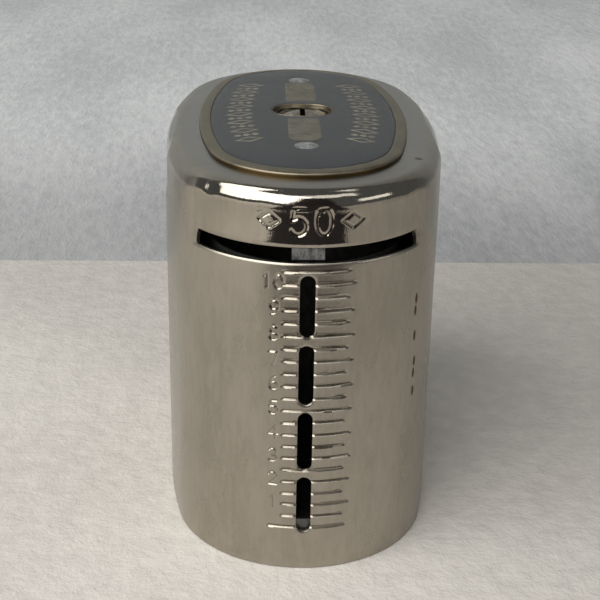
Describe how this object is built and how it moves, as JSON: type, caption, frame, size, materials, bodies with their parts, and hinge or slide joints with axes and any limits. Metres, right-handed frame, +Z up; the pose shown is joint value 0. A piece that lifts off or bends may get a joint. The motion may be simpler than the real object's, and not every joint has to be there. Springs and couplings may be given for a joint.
{
  "type": "coin sorting bank",
  "caption": "Pocket coin sorting bank: nickel-plated oval case with a locked top, side coin slots and viewing slots, lifting off a rack of coin tubes.",
  "frame": {"origin": "middle of the base, on the surface that it stands on", "axes": "+Z up, -Y towards the front coin slot for half dollars, +X to the right seen from the front"},
  "size_m": [0.0476, 0.0794, 0.068],
  "materials": {
    "nickel_plate": "worn nickel plate with vertical brushing",
    "brass_rim": "dull aged brass",
    "enamel": "slate grey enamel",
    "panel_tan": "satin brass",
    "bright_steel": "bright",
    "lock_brass": "satin",
    "tinplate": "tinned",
    "base_steel": "dark japanned steel",
    "spring_steel": "scuffed spring steel"
  },
  "bodies": {
    "case": {"outer_shell": "nickel_plate", "name_plate": "brass_rim", "enamel_field": "enamel", "number_panel_front": "panel_tan", "number_panel_rear": "panel_tan", "plate_rivets": "bright_steel", "lock_case": "lock_brass", "lock_cover": "lock_brass", "lock_rivets": "bright_steel", "cover_screws": "bright_steel", "guard_bracket_front": "tinplate", "guard_bracket_rear": "tinplate", "guard_bracket_left": "tinplate", "guard_bracket_right": "tinplate", "guard_pin_front": "bright_steel", "guard_pin_rear": "bright_steel", "guard_pin_left": "bright_steel", "guard_pin_right": "bright_steel"},
    "lock": {"lock_plug": "lock_brass", "lock_cam": "bright_steel", "cam_screw": "bright_steel"},
    "rack": {"base_plate": "base_steel", "base_skirt": "base_steel", "coin_deck": "tinplate", "halves_tube": "tinplate", "quarters_tube": "tinplate", "nickels_tube": "tinplate", "dimes_tube": "tinplate", "post_front": "tinplate", "post_rear": "tinplate", "post_front_left": "tinplate", "post_front_right": "tinplate", "post_rear_left": "tinplate", "post_rear_right": "tinplate", "head_plate": "tinplate", "keeper_front": "tinplate", "keeper_rear": "tinplate", "keeper_rivets": "bright_steel", "head_screws": "bright_steel", "base_screws": "bright_steel"},
    "guard_front": {"guard_front": "spring_steel"},
    "guard_rear": {"guard_rear": "spring_steel"},
    "guard_left": {"guard_left": "spring_steel"},
    "guard_right": {"guard_right": "spring_steel"}
  },
  "joints": [
    {"name": "case_lift", "type": "slide", "parent": "rack", "child": "case", "axis": [0, 0, 1], "range_m": [0, 0.07]},
    {"name": "lock_turn", "type": "hinge", "parent": "case", "child": "lock", "pos_m": [0, 0, 0.0645], "axis": [0, 0, 1], "range_deg": [0, 90]},
    {"name": "guard_front_swing", "type": "hinge", "parent": "case", "child": "guard_front", "pos_m": [0, -0.03775, 0.0614], "axis": [1, 0, 0], "range_deg": [0, 38], "stiffness_Nm_per_rad": 0.0006},
    {"name": "guard_rear_swing", "type": "hinge", "parent": "case", "child": "guard_rear", "pos_m": [0, 0.03775, 0.0614], "axis": [-1, 0, 0], "range_deg": [0, 38], "stiffness_Nm_per_rad": 0.0006},
    {"name": "guard_left_swing", "type": "hinge", "parent": "case", "child": "guard_left", "pos_m": [-0.02184, -0.00105, 0.0614], "axis": [0, -1, 0], "range_deg": [0, 38], "stiffness_Nm_per_rad": 0.0006},
    {"name": "guard_right_swing", "type": "hinge", "parent": "case", "child": "guard_right", "pos_m": [0.02184, 0.0017, 0.0614], "axis": [0, 1, 0], "range_deg": [0, 38], "stiffness_Nm_per_rad": 0.0006}
  ]
}
